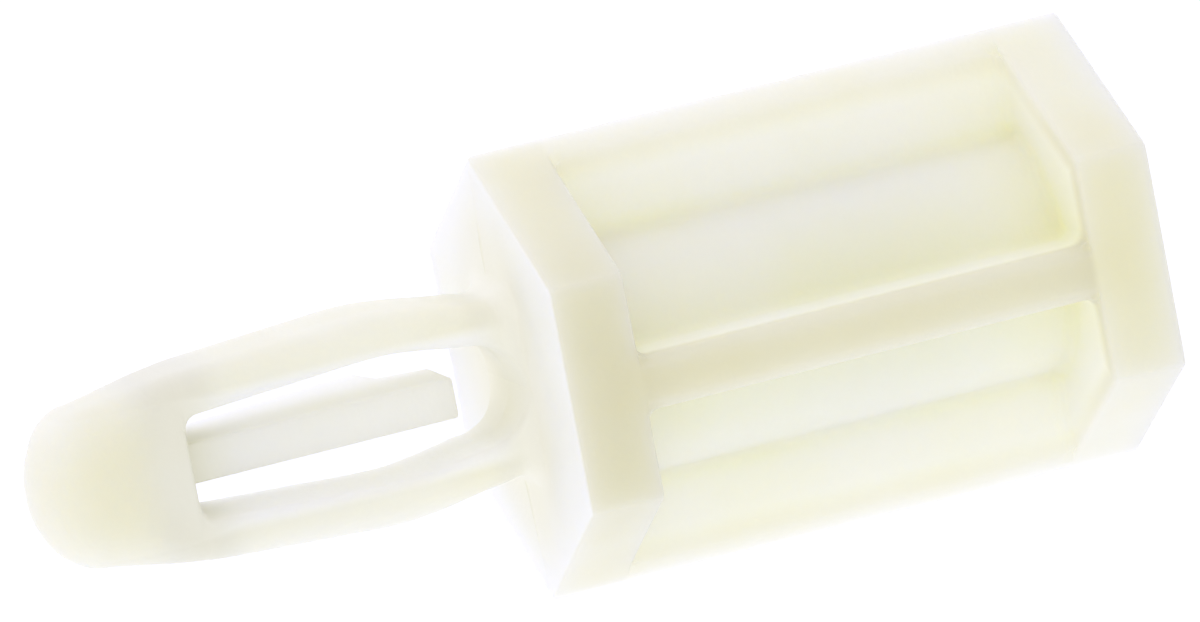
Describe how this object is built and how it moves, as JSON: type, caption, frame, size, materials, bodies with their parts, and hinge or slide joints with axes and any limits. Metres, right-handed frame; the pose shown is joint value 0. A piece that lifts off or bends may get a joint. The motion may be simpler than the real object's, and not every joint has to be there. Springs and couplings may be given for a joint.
{
  "type": "snap-in spacer",
  "caption": "Moulded hexagonal spacer with ribbed sides, a snap plug with two flexing legs and a locking tongue on one end, and a blind screw hole in the other.",
  "frame": {"origin": "centre of the seating face that bears on the panel, on the plug's axis", "axes": "+X along the axis from the plug towards the screw end, +Y towards a hexagon corner in the plane of the plug's legs, +Z out of a hexagon flat"},
  "size_m": [0.0228, 0.009, 0.0078],
  "materials": {
    "natural_nylon": "translucent, fine matte"
  },
  "bodies": {
    "spacer": {"seat_collar": "natural_nylon", "screw_collar": "natural_nylon", "core": "natural_nylon", "rib_upper": "natural_nylon", "rib_lower": "natural_nylon", "rib_front": "natural_nylon", "rib_back": "natural_nylon", "plug_foot": "natural_nylon", "upper_leg_root": "natural_nylon", "upper_leg_front": "natural_nylon", "lower_leg_root": "natural_nylon", "lower_leg_front": "natural_nylon", "nose": "natural_nylon", "tongue_root": "natural_nylon"},
    "upper_leg": {"upper_leg": "natural_nylon"},
    "lower_leg": {"lower_leg": "natural_nylon"},
    "tongue": {"tongue": "natural_nylon"}
  },
  "joints": [
    {"name": "upper_leg_squeeze", "type": "slide", "parent": "spacer", "child": "upper_leg", "axis": [0, -1, 0], "range_m": [0, 0.0003], "stiffness_N_per_m": 100000},
    {"name": "lower_leg_squeeze", "type": "slide", "parent": "spacer", "child": "lower_leg", "axis": [0, 1, 0], "range_m": [0, 0.0003], "stiffness_N_per_m": 100000},
    {"name": "tongue_flex", "type": "slide", "parent": "spacer", "child": "tongue", "axis": [0, 0, 1], "range_m": [0, 0.0004], "stiffness_N_per_m": 100000}
  ]
}
